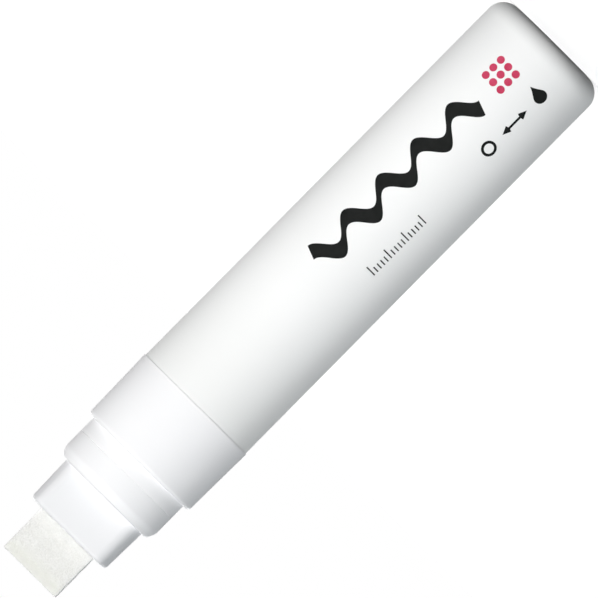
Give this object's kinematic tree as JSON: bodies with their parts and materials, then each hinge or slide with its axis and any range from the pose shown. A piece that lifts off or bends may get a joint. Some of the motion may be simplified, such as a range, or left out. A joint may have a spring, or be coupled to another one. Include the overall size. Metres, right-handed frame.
{
  "type": "liquid chalk marker",
  "caption": "Fat round-barrelled liquid chalk marker with a stepped nose; its broad felt nib slides in against a spring to open an ink valve. It stands on its flat rear end.",
  "frame": {"origin": "centre of the flat rear end that the marker stands on", "axes": "+Z along the barrel towards the nib, X across the nib's width, Y square to the nib's broad faces"},
  "size_m": [0.0294, 0.0294, 0.1535],
  "materials": {
    "barrel_plastic": "satin moulded",
    "nose_plastic": "satin moulded",
    "felt": "pressed fibre",
    "foam": "open-cell foam",
    "valve_plastic": "natural moulded",
    "rubber": "matt",
    "spring_steel": "drawn wire",
    "ball_steel": "polished"
  },
  "bodies": {
    "marker_body": {"barrel": "barrel_plastic", "collar": "nose_plastic", "nib_holder": "nose_plastic", "ink_wad": "foam", "valve_housing": "valve_plastic", "valve_spring": "spring_steel", "spring_cage": "valve_plastic", "tank_gasket": "rubber", "holder_gasket": "rubber"},
    "nib_plunger": {"nib": "felt", "nib_carrier": "valve_plastic", "valve_stem": "valve_plastic", "valve_seal": "rubber"},
    "mixing_ball": {"mixing_ball": "ball_steel"}
  },
  "joints": [
    {"name": "nib_press", "type": "slide", "parent": "marker_body", "child": "nib_plunger", "axis": [0, 0, -1], "range_m": [0, 0.0025], "stiffness_N_per_m": 400, "springref_m": -0.004, "deforming": ["valve_spring"]},
    {"name": "ball_travel", "type": "slide", "parent": "marker_body", "child": "mixing_ball", "axis": [0, 0, 1], "range_m": [0, 0.085]}
  ]
}
